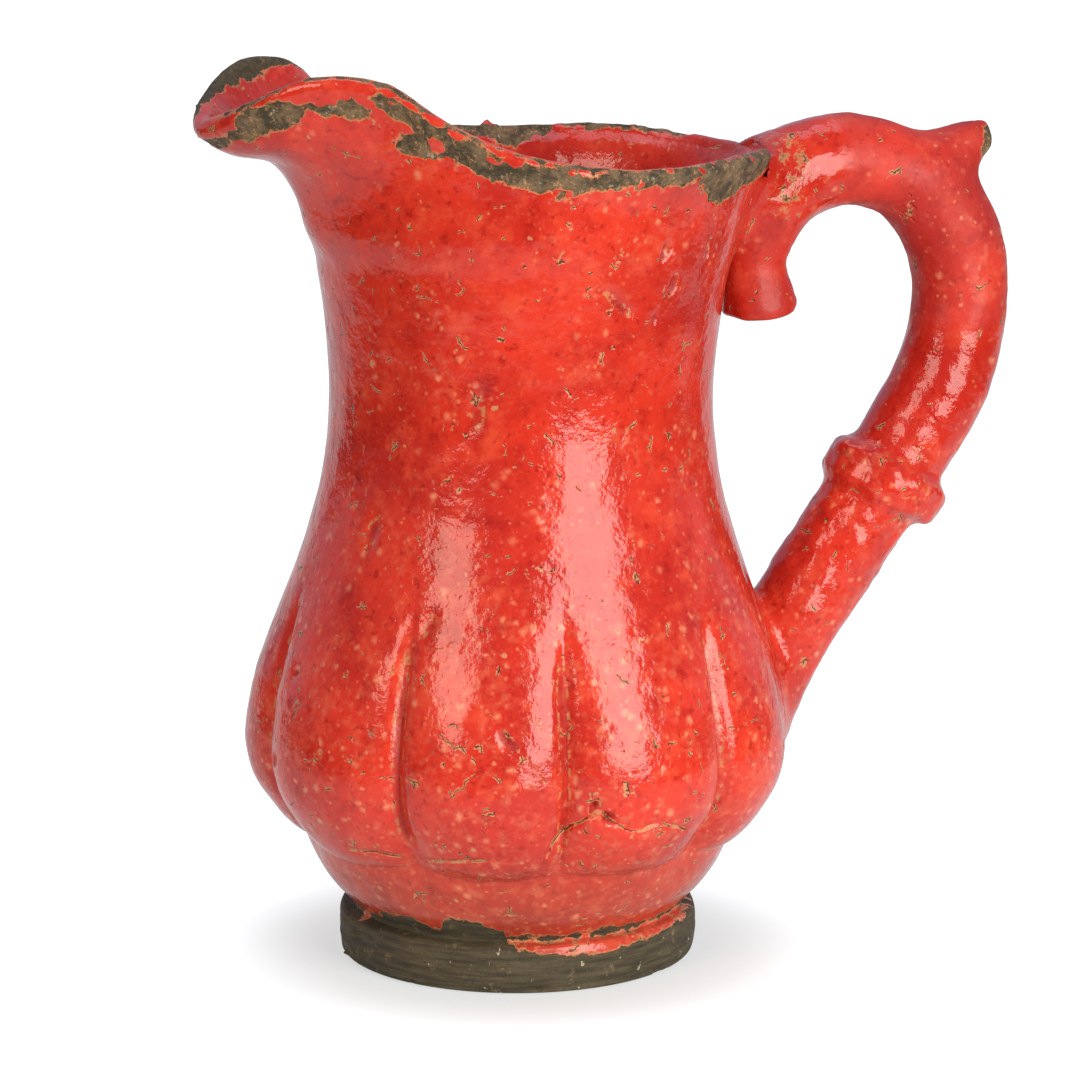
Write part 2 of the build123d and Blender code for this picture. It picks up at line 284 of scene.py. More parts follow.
def cracks(p):
    """Signed distance to the nearest crack and how near it is (1 on it, 0 from 2 mm), mm."""
    ang, z = wall_place(p)
    rad = np.hypot(p[..., 0], p[..., 1])
    best = np.full(ang.shape, 9.0)
    signed = np.full(ang.shape, 3.0)
    jitter = 0.9 * fbm(p, 3.0, 15, 3)
    for path in CRACKS:
        for (a0, z0), (a1, z1) in zip(path[:-1], path[1:]):
            x1 = math.radians(a1 - a0) * 69
            y1 = z1 - z0
            x = np.radians((ang - a0 + 180) % 360 - 180) * rad
            y = z - z0 + jitter
            t = np.clip((x * x1 + y * y1) / (x1 * x1 + y1 * y1), 0, 1)
            d = np.hypot(x - t * x1, y - t * y1)
            side = np.sign(x1 * y - y1 * x)
            closer = d < best
            best = np.where(closer, d, best)
            signed = np.where(closer, side * np.minimum(d, 3.0), signed)
    return signed, 1 - smoothstep(0.9, 2.0, best)


def flake(p):
    """The lobe's end below the long crack stands proud like a patch of slip."""
    ang, z = wall_place(p)
    along, crest = [-98.6, -94.0, -88.2, -82.6, -74.5, -66.5], [42.0, 49.4, 54.2, 49.0, 49.6, 45.8]
    top = np.interp(ang, along, crest)
    inside = np.minimum(np.minimum((ang + 99.2) * 1.15, (-65.5 - ang) * 1.15), top - z)
    return 0.85 * smoothstep(-0.3, 0.9, inside) * smoothstep(33, 37, z)


def outer_relief(p):
    """How far the hand-made surface stands off its ideal shape, in mm."""
    signed, near = cracks(p)
    slit = 0.6 * np.clip(1 - np.abs(signed) / 1.0, 0, 1) * near
    return (
        0.8 * fbm(p, 46.0, 1, 2) + 0.6 * fbm(p, 17.0, 2, 2) + 0.24 * fbm(p, 5.5, 3, 2)
        + flake(p) - dents(p) - slit
    )


R_out, Z_out, N_CUP, N_BELLY = meridians()
ideal = to_xyz(R_out, Z_out)
normal = grid_normals(ideal)
outer = ideal + normal * outer_relief(ideal)[..., None]
outer[N_CUP] = outer[N_CUP - 1]  # the cup and the belly share this row


# ------------------------------------------------------------------ meshes
PIECES = []


def add_mesh(name, verts, faces, attrs):
    mesh = bpy.data.meshes.new(name)
    mesh.from_pydata([tuple(v) for v in np.asarray(verts) * MM], [], faces)
    mesh.update()
    for key, values in attrs.items():
        layer = mesh.attributes.new(key, "FLOAT", "POINT")
        layer.data.foreach_set("value", np.asarray(values, np.float32).ravel())
    mesh.polygons.foreach_set("use_smooth", [True] * len(mesh.polygons))
    mesh.set_sharp_from_angle(angle=math.radians(50))
    ob = bpy.data.objects.new(name, mesh)
    bpy.context.scene.collection.objects.link(ob)
    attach(ob, "root")
    PIECES.append(ob)
    return ob


def loop_mesh(rows, closed=True):
    """Faces for rows of COLS points that close round, and back to the first row if closed."""
    n, c = rows.shape[0], rows.shape[1]
    a = np.arange(n if closed else n - 1)[:, None]
    j = np.arange(c)[None]
    nxt = (a + 1) % n
    jn = (j + 1) % c
    f = np.stack([a * c + j, a * c + jn, nxt * c + jn, nxt * c + j], -1).reshape(-1, 4)
    return rows.reshape(-1, 3), f.tolist()


# inside of the bowl: height, radius
CAVITY = [
    (17.0, 32.0), (18.2, 37.0), (21.0, 41.5), (27.0, 46.8), (34.0, 51.6), (43.0, 57.0), (50.0, 60.2),
    (59.0, 61.9), (72.0, 61.0), (86.0, 57.4), (98.0, 54.0), (112.0, 50.7),
]
cav = np.array(CAVITY)
IN_SEAM = 50.7  # inside radius where the belly and the neck meet


def inner_rows(n, start, stop):
    """Rows of the cavity between two of its stations, from the lower one up."""
    b = hermite(np.arange(len(cav)), cav, np.linspace(start, stop, n))
    p = to_xyz(np.repeat(b[:, 1:], COLS, 1), np.repeat(b[:, :1], COLS, 1))
    return p + grid_normals(p) * (0.7 * fbm(p, 26.0, 5, 2))[..., None]


# ------------------------------------------------------------------ where the clay is bare
def glaze_edge(ang):
    """Height of the glaze's lower edge on the cup, by degrees from the handle."""
    return np.interp(
        ang,
        [-180, -168, -152, -140, -134, -131, -128, -124, -116, -110, -104, -98, -88, -70, -50, -20,
         10, 40, 75, 90, 120, 150, 180],
        [14.0, 13.0, 17.5, 18.5, 15.5, 15.8, 19.5, 20.5, 19.5, 16.5, 14.5, 13.5, 12.5, 12.5, 12.0, 13.0,
         16.0, 13.0, 14.5, 18.0, 15.0, 16.5, 14.0],
    )


def spill_edge(ang):
    """Height above which glaze that ran down has coated the foot, by degrees from the handle."""
    return np.interp(
        ang,
        [-180, -176, -166, -163, -113, -109, -104, -92, -78, -66, -55, -44, -36, 60, 70, 95, 105, 180],
        [30.0, 30.0, 30.0, 30, 30, 13.0, 11.2, 10.2, 9.7, 10.4, 11.0, 11.6, 30, 30, 12.0, 12.4, 30, 30],
    )


def bare_foot(p):
    """Bare clay on the cup's underside and the foot: over 0.5, with 3 mm to a unit."""
    ang, z = wall_place(p)
    ragged = 1.8 * fbm(p, 7.0, 21, 3) + 1.2 * fbm(p, 2.2, 22, 2)
    cup = glaze_edge(ang) - z
    spill = spill_edge(ang) - z
    # a dark line is left in the groove above the foot
    groove = 0.5 - np.abs(z - 14.3) + 2.0 * fbm(p * (1, 1, 3.0), 9.0, 23, 2)
    return 0.5 + (np.maximum(np.minimum(cup, spill), groove) + ragged) / 3.0


# bare bands round the lip: degrees from opposite the spout, then where the band starts and ends as
# mm down the outside from the lip's crest (negative: down the inside)
BANDS = [
    [(-173, 5, 8), (-170, 3, 10.5), (-168, 2, 10), (-162, 4.5, 10.5), (-159, 8, 9.5)],
    [(-159.5, 7, 10), (-156, 6.5, 11), (-150, 6, 12), (-147.5, 8.5, 11)],
    [(-146, 5, 6), (-143, 3, 8), (-130, 2, 8), (-125, 2.5, 9.5), (-101, 2.5, 9.5), (-95, 2, 7),
     (-88, 1.5, 5), (-77, 1, 4), (-66, 0.5, 4), (-63, 0.5, 5.5), (-57, 0, 11.5), (-47, 0, 11.5),
     (-40, -0.5, 9), (-24, -1, 6), (-14, 0, 2)],
    [(-143, 14, 16), (-141, 12.5, 17), (-137, 9, 14.5), (-131, 7, 11.5), (-127, 7.5, 9.5)],
    [(-184, 3.5, 4.5), (-181, 3, 8), (-176, 5, 10.5), (-174.5, 7, 8.5)],
    [(-174, -1, 0), (-166, -1.5, 0.5), (-140, -1, 0.5), (-70, 0, 1), (-40, -1.5, 1), (-20, -1.5, 1)],
    [(18, -1.5, 1), (24, -3, 2.5), (42, -4, 2.5), (60, -3.5, 2.5), (100, -2.5, 2), (120, -2, 2),
     (140, -2.5, 2.5), (150, -5.5, 6), (159, -7.5, 6), (167, -6, 4), (174, -2.5, 2.5), (177, -1, 1.5)],
    [(56, -3, -1), (60, -7, -1), (68, -8.5, -1), (76, -6.5, -1), (84, -5, -1), (89, -2, -1)],
    [(96, 0.5, 2.5), (104, 0.5, 8), (116, 0.5, 9.5), (128, 0.5, 6), (133, 0.5, 3)],
]


def bare_rim(p, depth):
    """Bare clay round the lip. depth is mm from the lip's crest, negative on the inside."""
    a = (wall_place(p)[0] - SPOUT_OFF + 180) % 360 - 180
    best = np.full(a.shape, -9.0)
    for band in BANDS:
        b = np.array(band, float)
        mid = (b[0, 0] + b[-1, 0]) / 2
        t = (a - mid + 180) % 360 - 180 + mid  # the turn nearest this band
        ends = 1.1 * np.minimum(t - b[0, 0], b[-1, 0] - t)
        start, stop = np.interp(t, b[:, 0], b[:, 1]), np.interp(t, b[:, 0], b[:, 2])
        sides = np.minimum(depth - start, stop - depth)
        best = np.maximum(best, np.minimum(ends, sides))
    ragged = 2.4 * fbm(p, 5.0, 31, 3) + 2.0 * fbm(p, 2.0, 33, 2)
    islands = 2.6 * smoothstep(0.14, 0.26, fbm(p, 3.6, 34, 2))
    return 0.5 + (best + ragged - islands) / 3.0


# ------------------------------------------------------------------ vessel pieces
def annulus(radii, z):
    """Level rings from the first radius to the last."""
    return np.concatenate([to_xyz(np.full((1, COLS), r), np.full((1, COLS), z)) for r in radii])


def finish_vessel(name, node, rows, closed, bare, poles=()):
    """Mesh rows of points as one piece. poles are (row, height) pairs closed by a point on the axis."""
    verts, faces = loop_mesh(rows, closed)
    for row, z in poles:
        pole = len(verts)
        verts = np.concatenate([verts, [[0, 0, z]]])
        bare = np.append(bare, bare.ravel()[row * COLS])
        j = np.arange(COLS)
        ring = row * COLS
        ends = (ring + j, ring + (j + 1) % COLS)
        a, c = ends if row else ends[::-1]
        faces += np.stack([a, c, np.full(COLS, pole)], -1).tolist()
    signed, near = cracks(verts)
    # dent depth plus the grooves' painted shade, kept for the material to darken by
    pressed_shade = dents(verts) + crease_shade(verts)
    marks = {"bare": bare, "crack": signed, "crack_near": near, "dent_and_crease_shade": pressed_shade}
    ob = add_mesh(name, verts, faces, marks)
    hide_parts(node)
    return ob


# lower cup: underside, outside, top seam, cavity, floor
cup_out = outer[:N_CUP]
cup_in = inner_rows(24, 0, 4)[::-1]
cup_in[0] = inner_rows(2, 4, 5)[0]
under = np.concatenate([
    annulus((8.0, 16.0, 24.0, 31.0, 37.4), 9.0), annulus((38.0,), 9.4), annulus((38.0,), 11.2),
    annulus((38.0, 41.0), 13.0),
])
cup_rows = np.concatenate([under, cup_out, cup_in, annulus((24.0, 16.0, 8.0), 17.0)])
cup_bare = bare_foot(cup_rows)
cup_bare[len(under) + N_CUP:] = 0.0
finish_vessel("base_cup_skin", "base_cup", cup_rows, False, cup_bare,
              ((len(cup_rows) - 1, 17.0), (0, 9.0)))

# belly
belly_out = outer[N_CUP:N_CUP + N_BELLY]
belly_in = inner_rows(44, 4, 11)[::-1]
belly_in[0] = annulus((IN_SEAM,), 112.0)[0]
belly_in[-1] = cup_in[0]
belly_rows = np.concatenate([belly_out, belly_in])
finish_vessel("lobed_belly_skin", "lobed_belly", belly_rows, True,
              np.zeros(belly_rows.shape[:2]))

# neck, rim and spout
neck_out = outer[N_CUP + N_BELLY - 1:]
n_rows = len(neck_out)
r_n, z_n = R_out[N_CUP + N_BELLY - 1:], Z_out[N_CUP + N_BELLY - 1:]
tan_r, tan_z = np.gradient(r_n, axis=0), np.gradient(z_n, axis=0)
length = np.hypot(tan_r, tan_z)
tan_r, tan_z = tan_r / length, tan_z / length
in_r, in_z = -tan_z, tan_r  # towards the inside of the wall
lip_size = LIP_R * (1 + 0.35 * smoothstep(150, 178, fold))
arc = np.linspace(0, math.pi, 13)[1:-1][:, None]
lip_r = r_n[-1] + lip_size * ((1 - np.cos(arc)) * in_r[-1] + np.sin(arc) * tan_r[-1])
lip_z = z_n[-1] + lip_size * ((1 - np.cos(arc)) * in_z[-1] + np.sin(arc) * tan_z[-1])
share = np.linspace(0, 1, n_rows)[:, None]
handle_side_shade = 6.4 + (2 * lip_size[None] - 6.4) * smoothstep(0.72, 1.0, share)
wall_r, wall_z = r_n + handle_side_shade * in_r, z_n + handle_side_shade * in_z
free = smoothstep(0.0, 0.12, share)
wall_r = IN_SEAM + (wall_r - IN_SEAM) * free
wall_z = z_n + (wall_z - z_n) * free
pick = np.unique(np.round(np.linspace(0, n_rows - 1, 46)).astype(int))[::-1]
moved = (outer[-1] - ideal[-1])[None]  # the lip follows the last row of the outside
lip = to_xyz(lip_r, lip_z) + moved
inner_wall = to_xyz(wall_r[pick], wall_z[pick])
inner_relief = 0.8 * fbm(inner_wall, 24.0, 6, 2) + 0.3 * fbm(inner_wall, 7.0, 8, 2)
inner_wall = inner_wall - grid_normals(inner_wall[::-1])[::-1] * inner_relief[..., None]
inner_wall[0] = to_xyz(wall_r[-1:], wall_z[-1:])[0] + moved[0]
inner_wall[-1] = belly_in[0]
neck_rows = np.concatenate([neck_out, lip, inner_wall])
circle = np.stack([60 * np.cos(psi), 60 * np.sin(psi), 0 * psi], -1)
wobble = 0.9 * fbm(circle, 14.0, 41, 3) + 0.25 * fbm(circle, 3.0, 42, 2)
near_lip = np.concatenate([smoothstep(0.75, 1.0, share[:, 0]), np.ones(len(lip)),
                           smoothstep(0.75, 1.0, share[pick, 0])])
neck_rows[..., 2] += near_lip[:, None] * wobble[None]
# distance along the wall from the lip's crest, positive outside
step = np.linalg.norm(np.diff(neck_rows, axis=0), axis=-1)
run = np.concatenate([np.zeros((1, COLS)), np.cumsum(step, axis=0)])
depth = run[n_rows + len(lip) // 2][None] - run
rough = 0.30 * fbm(neck_rows, 2.4, 43, 2) * smoothstep(0.3, 0.7, bare_rim(neck_rows, depth))
rim_bare = bare_rim(neck_rows, depth)
# a bead of glaze stands on the far side of the rim
bead = 1.5 * np.exp(-(np.hypot(np.degrees(psi)[None] - 82.0, depth * 1.2) / 1.1) ** 2)
neck_rows[..., 2] += bead
rim_bare = rim_bare - 2.0 * (bead > 0.3)
off_wall = rough - 0.35 * smoothstep(0.4, 0.6, rim_bare)  # bare clay lies lower than the glaze
neck_rows[1:-1] += (grid_normals(neck_rows) * off_wall[..., None])[1:-1]
finish_vessel("neck_skin", "neck", neck_rows, True, rim_bare)

# foot ring: radius, height
FOOT = [
    (38.0, 13.0), (38.0, 7.0), (38.0, 1.4), (38.5, 0.3), (39.5, 0.0), (43.0, 0.0), (46.0, 0.0),
    (47.0, 0.35), (47.5, 1.5), (47.9, 4.5), (47.9, 8.5), (47.6, 11.2), (46.9, 12.3), (45.6, 12.7),
    (44.4, 13.0),
]
foot_line = np.array(FOOT)
t = np.concatenate([np.linspace(0, 6, 12)[:-1], np.linspace(6, 14, 44)])
prof = hermite(np.arange(len(foot_line)), foot_line, t)
prof[:, 1] = np.maximum(prof[:, 1], 0.0)
foot_rows = to_xyz(np.repeat(prof[:, :1], COLS, 1), np.repeat(prof[:, 1:], COLS, 1))
ang, z = wall_place(foot_rows)
side = smoothstep(0.0, 1.4, z) * smoothstep(13.1, 12.0, z)
turned = 0.30 * fbm(foot_rows * (0.06, 0.06, 1.0), 1.1, 51, 2)
lumps = 1.0 * fbm(foot_rows, 22.0, 52, 2) + 0.5 * fbm(foot_rows, 6.0, 53, 3)
crumbs = 1.5 * smoothstep(0.05, 0.45, fbm(foot_rows, 2.4, 54, 2)) * smoothstep(-160, -172, ang)
chips = 1.6 * smoothstep(0.20, 0.42, fbm(foot_rows, 5.0, 55, 2)) * smoothstep(3.4, 0.4, z)
out_dir = foot_rows * (1, 1, 0)
out_dir /= np.linalg.norm(out_dir, axis=-1, keepdims=True)
outside = np.hypot(foot_rows[..., 0], foot_rows[..., 1]) > 42
push = (turned + lumps + crumbs) * side - chips * (z > 0.01)
foot_rows = foot_rows + out_dir * (push * outside)[..., None]
# the top edge waves up and down a little
foot_rows[..., 2] += 0.8 * fbm(foot_rows * (1, 1, 0), 30.0, 56, 2) * smoothstep(4, 11, z) * outside
foot_rows[-1, :, 2] = foot_rows[0, :, 2]
finish_vessel("foot_ring_skin", "foot_ring", foot_rows, True, bare_foot(foot_rows))


# ------------------------------------------------------------------ handle, from a blended field
def seg_cone(p, a, b):
    """Distance to a tapered rod between two stations (x, z, r) lying in the XZ plane."""
    ax, az, ra = a
    bx, bz, rb = b
    dx, dz = bx - ax, bz - az
    h = np.clip(((p[..., 0] - ax) * dx + (p[..., 2] - az) * dz) / (dx * dx + dz * dz), 0, 1)
    qx, qz = p[..., 0] - ax - h * dx, p[..., 2] - az - h * dz
    return np.sqrt(qx**2 + p[..., 1] ** 2 + qz**2) - (ra + h * (rb - ra))


def smin(a, b, k):
    h = np.maximum(k - np.abs(a - b), 0.0)
    return np.minimum(a, b) - h * h / (4 * k)


def smax(a, b, k):
    return -smin(-a, -b, k)


# stations: x, z, rod radius
ARM = [
    (62.0, 200.8, 11.8), (68.5, 203.0, 11.9), (79.5, 207.2, 12.2), (91.5, 209.2, 12.1),
    (104.0, 206.0, 12.0), (113.3, 200.0, 12.7), (120.5, 190.3, 13.0), (124.0, 177.4, 13.0),
    (123.4, 163.6, 13.0), (119.3, 148.6, 13.2), (112.6, 136.2, 13.3), (104.7, 124.6, 13.2),
    (97.0, 113.7, 13.1), (88.8, 101.8, 13.0), (79.8, 88.6, 12.8), (72.4, 74.6, 12.1),
    (66.5, 60.0, 11.2),
]
TAIL = [
    (67.5, 200.0, 10.0), (66.4, 190.0, 9.0), (65.6, 183.0, 8.2), (66.0, 176.5, 8.9),
    (66.8, 171.0, 10.2),
]


def dense(stations, per=3):
    s = np.array(stations)
    return hermite(np.arange(len(s)), s, np.linspace(0, len(s) - 1, (len(s) - 1) * per + 1))


def chain(p, stations):
    d = np.full(p.shape[:-1], 1e9)
    for a, b in zip(stations[:-1], stations[1:]):
        d = np.minimum(d, seg_cone(p, a, b))
    return d


ARM_D, TAIL_D = dense(ARM), dense(TAIL)
SPUR_D = dense([(113.0, 202.6, 10.0), (119.5, 208.2, 8.2), (125.0, 212.0, 6.0), (130.5, 214.6, 3.7)])
COLLAR_C, COLLAR_D = (103.4, 121.4), (0.50, 0.866)


def rod_field(p):
    tail = chain(p, TAIL_D)
    sole = 167.6 + 0.016 * (p[..., 0] - 64.0) ** 2 + 0.03 * (p[..., 0] - 64.0) - p[..., 2]
    d = smin(chain(p, ARM_D), smax(tail, sole, 1.2), 9.0)
    near_collar = np.hypot(p[..., 0] - 100, p[..., 2] - 112)
    flaky = smoothstep(34, 12, near_collar)
    return (
        d - 0.9 * fbm(p, 19.0, 61, 2) - 0.8 * fbm(p, 8.5, 62, 2)
        - (0.20 + 0.45 * flaky) * fbm(p, 3.0, 64, 2)
    )


def collar_field(p):
    q = (p[..., 0] - COLLAR_C[0]) * COLLAR_D[0] + (p[..., 2] - COLLAR_C[1]) * COLLAR_D[1]
    u = (p[..., 0] - COLLAR_C[0]) * COLLAR_D[1] - (p[..., 2] - COLLAR_C[1]) * COLLAR_D[0]
    rho = np.sqrt((u / 1.08) ** 2 + p[..., 1] ** 2)
    d = np.hypot(np.maximum(np.abs(q) - 2.5, 0), np.maximum(rho - 13.0, 0)) - 3.1
    return d - 1.5 * fbm(p, 8.0, 63, 2) - 0.8 * fbm(p, 3.2, 65, 2)


def spur_field(p):
    end = 0.97 * (p[..., 0] - 131.6) + 0.24 * (p[..., 2] - 214.0)
    return smax(chain(p, SPUR_D), end, 1.4) - 0.35 * fbm(p, 4.0, 66, 2)


# radius of the vessel's outside near the handle, by angle and height
SIDE_Z = np.linspace(40, 216, 353)
half_turn = (psi + math.pi) % (2 * math.pi) - math.pi
cols = np.where(np.abs(half_turn) < math.radians(50))[0]
cols = cols[np.argsort(half_turn[cols])]
col_ang = half_turn[cols]
near_side = outer[:, cols]
side_r = np.hypot(near_side[..., 0], near_side[..., 1])
SIDE_R = np.stack([np.interp(SIDE_Z, near_side[:, k, 2], side_r[:, k]) for k in range(len(cols))])
SIDE_SLOPE = 1 / np.sqrt(1 + np.gradient(SIDE_R, SIDE_Z, axis=1) ** 2)
SIDE_TOP = near_side[-1, :, 2] + 1.5


def wall_field(p):
    """Distance outside the vessel's wall, near the handle."""
    ang = np.arctan2(p[..., 1], p[..., 0])
    i = np.clip((ang - col_ang[0]) / (col_ang[1] - col_ang[0]), 0, len(cols) - 1.001)
    j = np.clip((p[..., 2] - SIDE_Z[0]) / (SIDE_Z[1] - SIDE_Z[0]), 0, len(SIDE_Z) - 1.001)
    i0, j0 = i.astype(int), j.astype(int)
    fi, fj = i - i0, j - j0

    def look(t):
        return (
            t[i0, j0] * (1 - fi) * (1 - fj) + t[i0 + 1, j0] * fi * (1 - fj)
            + t[i0, j0 + 1] * (1 - fi) * fj + t[i0 + 1, j0 + 1] * fi * fj
        )

    d = (np.hypot(p[..., 0], p[..., 1]) - look(SIDE_R)) * look(SIDE_SLOPE)
    top = SIDE_TOP[i0] * (1 - fi) + SIDE_TOP[i0 + 1] * fi
    return np.maximum(d, p[..., 2] - top)


def surface_net(field, lo, hi, step, snaps=3):
    """Closed quad mesh of field = 0: naive surface nets, then a few Newton steps."""
    n = np.ceil((np.array(hi) - lo) / step).astype(int) + 1
    axes = [lo[k] + step * np.arange(n[k]) for k in range(3)]
    f = field(np.stack(np.meshgrid(*axes, indexing="ij"), -1))
    inside = f < 0
    cell = np.zeros(n - 1, int)
    corners = [(a, b, c) for a in (0, 1) for b in (0, 1) for c in (0, 1)]
    for dx, dy, dz in corners:
        cell += inside[dx:n[0] - 1 + dx, dy:n[1] - 1 + dy, dz:n[2] - 1 + dz]
    ids = np.argwhere((cell > 0) & (cell < 8))
    index = -np.ones(n - 1, int)
    index[tuple(ids.T)] = np.arange(len(ids))
    total, count = np.zeros((len(ids), 3)), np.zeros(len(ids))
    for a in corners:
        for k in range(3):
            if a[k]:
                continue
            b = list(a)
            b[k] = 1
            fa, fb = f[tuple((ids + a).T)], f[tuple((ids + b).T)]
            cross = (fa < 0) != (fb < 0)
            t = np.where(cross, fa / np.where(cross, fa - fb, 1.0), 0.0)
            total += np.where(cross[:, None], np.array(a) + t[:, None] * np.eye(3)[k], 0)
            count += cross
    v = (ids + total / count[:, None]) * step + lo
    faces = []
    for k in range(3):
        u, w = (k + 1) % 3, (k + 2) % 3
        fa = f[tuple(slice(1, n[q] - 1) if q != k else slice(0, n[q] - 1) for q in range(3))]
        fb = f[tuple(slice(1, n[q] - 1) if q != k else slice(1, n[q]) for q in range(3))]
        e = np.argwhere((fa < 0) != (fb < 0))
        outward = fa[tuple(e.T)] < 0
        e[:, [u, w]] += 1
        quad = []
        for du, dw in ((0, 0), (-1, 0), (-1, -1), (0, -1)):
            c = e.copy()
            c[:, u] += du
            c[:, w] += dw
            quad.append(index[tuple(c.T)])
        quad = np.stack(quad, -1)
        quad[~outward] = quad[~outward][:, ::-1]
        faces.append(quad)
    e = 0.15
    steps = np.eye(3) * e
    for _ in range(snaps):
        val = field(v)
        grad = np.stack([(field(v + d) - field(v - d)) / (2 * e) for d in steps], -1)
        move = -(val / np.maximum((grad**2).sum(-1), 0.25))[:, None] * grad
        far = np.linalg.norm(move, axis=-1, keepdims=True)
        v = v + move * np.minimum(1.0, 0.35 * step / np.maximum(far, 1e-9))
    return v, np.concatenate(faces).tolist()


def handle_bare(p):
    """Thin glaze at the rim joint and on the spur's tip."""
    joint = 6.0 - np.hypot(np.hypot(p[:, 0] - 70.5, 0.6 * (p[:, 2] - 206)), 0.7 * (p[:, 1] + 9))
    tip = 3.7 - np.hypot(np.hypot(p[:, 0] - 132.0, 0.6 * (p[:, 2] - 212.0)), 0.8 * (p[:, 1] + 4))
    thin = np.minimum(0.5 + (joint + 5.0 * fbm(p, 5.0, 71, 3)) / 3.0, 0.27)
    return np.maximum(thin, 0.5 + (tip + 2.0 * fbm(p, 2.6, 72, 3)) / 3.0)


STEP = 0.85
SKIN = 1.2  # how far a blended piece reaches into what it sits on


def proud(extra, base, k):
    """The part of a blend that stands proud of base, with a hidden skirt inside it."""
    def f(p):
        a, b = extra(p), base(p)
        s = smin(a, b, k) + 0.015
        return np.maximum(np.maximum(s, -(b + SKIN)), a - b - 0.95 * k)
    return f


def lute(reach, low, high):
    """Slip worked into the corner between the wall and the rod. reach(p) is its size, mm."""
    def f(p):
        a, b, k = wall_field(p), rod_field(p), reach(p)
        s = smin(a, b, k) + 0.015
        body = np.maximum(np.maximum(s, -(np.minimum(a, b) + SKIN)), np.abs(a - b) - 0.95 * k)
        body = np.maximum(body, np.maximum(low - p[..., 2], p[..., 2] - high))
        return np.maximum(body, mouth(p))
    return f


def mouth(p):
    """Negative outside the lip's crest: nothing of the handle lies over the mouth."""
    return np.minimum(65.6 - np.hypot(p[..., 0], p[..., 1]), p[..., 2] - 207.0)


def upper_reach(p):
    return 1.2 + 3.4 * smoothstep(181, 190, p[..., 2]) + 5.0 * smoothstep(198, 206, p[..., 2])


def lower_reach(p):
    return 4.5 + 3.0 * smoothstep(0, 12, p[..., 1])


def handle_solid(p):
    return smax(np.maximum(rod_field(p), -(wall_field(p) + 2.0)), mouth(p), 2.0)


for name, node, field, lo, hi in (
    ("handle_rod", "handle", handle_solid, (50, -20, 50), (142, 20, 226)),
    ("handle_collar_band", "handle_collar", proud(collar_field, rod_field, 3.6),
     (80, -22, 102), (128, 22, 142)),
    ("handle_spur_thorn", "handle_spur", proud(spur_field, rod_field, 5.0),
     (100, -14, 190), (138, 14, 222)),
    ("upper_lute_fillet", "upper_lute", lute(upper_reach, 172, 217), (46, -32, 168), (94, 32, 222)),
    ("lower_lute_fillet", "lower_lute", lute(lower_reach, 46, 112), (50, -32, 44), (104, 32, 116)),
):
    verts, faces = surface_net(field, np.array(lo, float), np.array(hi, float), STEP)
    none = np.zeros(len(verts))
    marks = {"bare": handle_bare(verts), "crack": none + 3.0, "crack_near": none, "dent_and_crease_shade": none}
    ob = add_mesh(name, verts, faces, marks)
    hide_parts(node)


# ------------------------------------------------------------------ materials
class Graph:
    """Short-hand for building a node tree. Sizes of noise and cells are in mm."""

    def __init__(self, tree):
        self.tree = tree

    def node(self, kind, sockets=None, **props):
        n = self.tree.nodes.new(kind)
        for k, v in props.items():
            setattr(n, k, v)
        for k, v in (sockets or {}).items():
            self.feed(n, k, v)
        return n

    def feed(self, node, socket, value):
        if isinstance(value, bpy.types.NodeSocket):
            self.tree.links.new(value, node.inputs[socket])
        else:
            node.inputs[socket].default_value = value

    def math(self, op, a, b=0.0, clamp=False):
        return self.node("ShaderNodeMath", {0: a, 1: b}, operation=op, use_clamp=clamp).outputs[0]

    def add(self, a, b):
        return self.math("ADD", a, b)

    def sub(self, a, b):
        return self.math("SUBTRACT", a, b)

    def mul(self, a, b):
        return self.math("MULTIPLY", a, b)

    def top(self, a, b):
        return self.math("MAXIMUM", a, b)

    def step(self, x, a, b):
        """0 at a, 1 at b, smooth between."""
        n = self.node("ShaderNodeMapRange", {"Value": x, "From Min": a, "From Max": b},
                      interpolation_type="SMOOTHSTEP")
        return n.outputs[0]

    def mix(self, f, a, b):
        return self.node("ShaderNodeMix", {0: f, 6: a, 7: b}, data_type="RGBA").outputs[2]

    def scale(self, vec, by):
        return self.node("ShaderNodeVectorMath", {0: vec, "Scale": by}, operation="SCALE").outputs[0]

    def dot(self, vec, way):
        """How far vec goes along way."""
        n = self.node("ShaderNodeVectorMath", {0: vec, 1: tuple(way)}, operation="DOT_PRODUCT")
        return n.outputs["Value"]

    def noise(self, vec, size, detail=2.0, rough=0.5):
        n = self.node("ShaderNodeTexNoise", {"Vector": vec, "Scale": 1.0 / size, "Detail": detail,
                                             "Roughness": rough})
        return n.outputs[0]

    def cells(self, vec, size, feature="F1"):
        return self.node("ShaderNodeTexVoronoi", {"Vector": vec, "Scale": 1.0 / size}, feature=feature)

    def attribute(self, name):
        return self.node("ShaderNodeAttribute", attribute_name=name).outputs["Fac"]


def rgb(r, g, b):
    return (r, g, b, 1.0)


DEEP_RED, BRIGHT_RED = rgb(0.52, 0.024, 0.014), rgb(0.70, 0.040, 0.019)
ORANGE_RED = rgb(0.76, 0.082, 0.036)
CRIMSON, PALE_SPOT = rgb(0.34, 0.009, 0.006), rgb(0.84, 0.27, 0.14)
TAN, PIT_AND_SHADE, CUP_BROWN = rgb(0.58, 0.30, 0.13), rgb(0.05, 0.02, 0.010), rgb(0.30, 0.085, 0.045)
CLAY_DARK, CLAY_MID = rgb(0.036, 0.028, 0.014), rgb(0.105, 0.080, 0.040)
RIM_DARK, RIM_BROWN = rgb(0.052, 0.038, 0.018), rgb(0.21, 0.135, 0.068)
CLAY_PALE, CHALK = rgb(0.32, 0.22, 0.11), rgb(0.66, 0.56, 0.38)


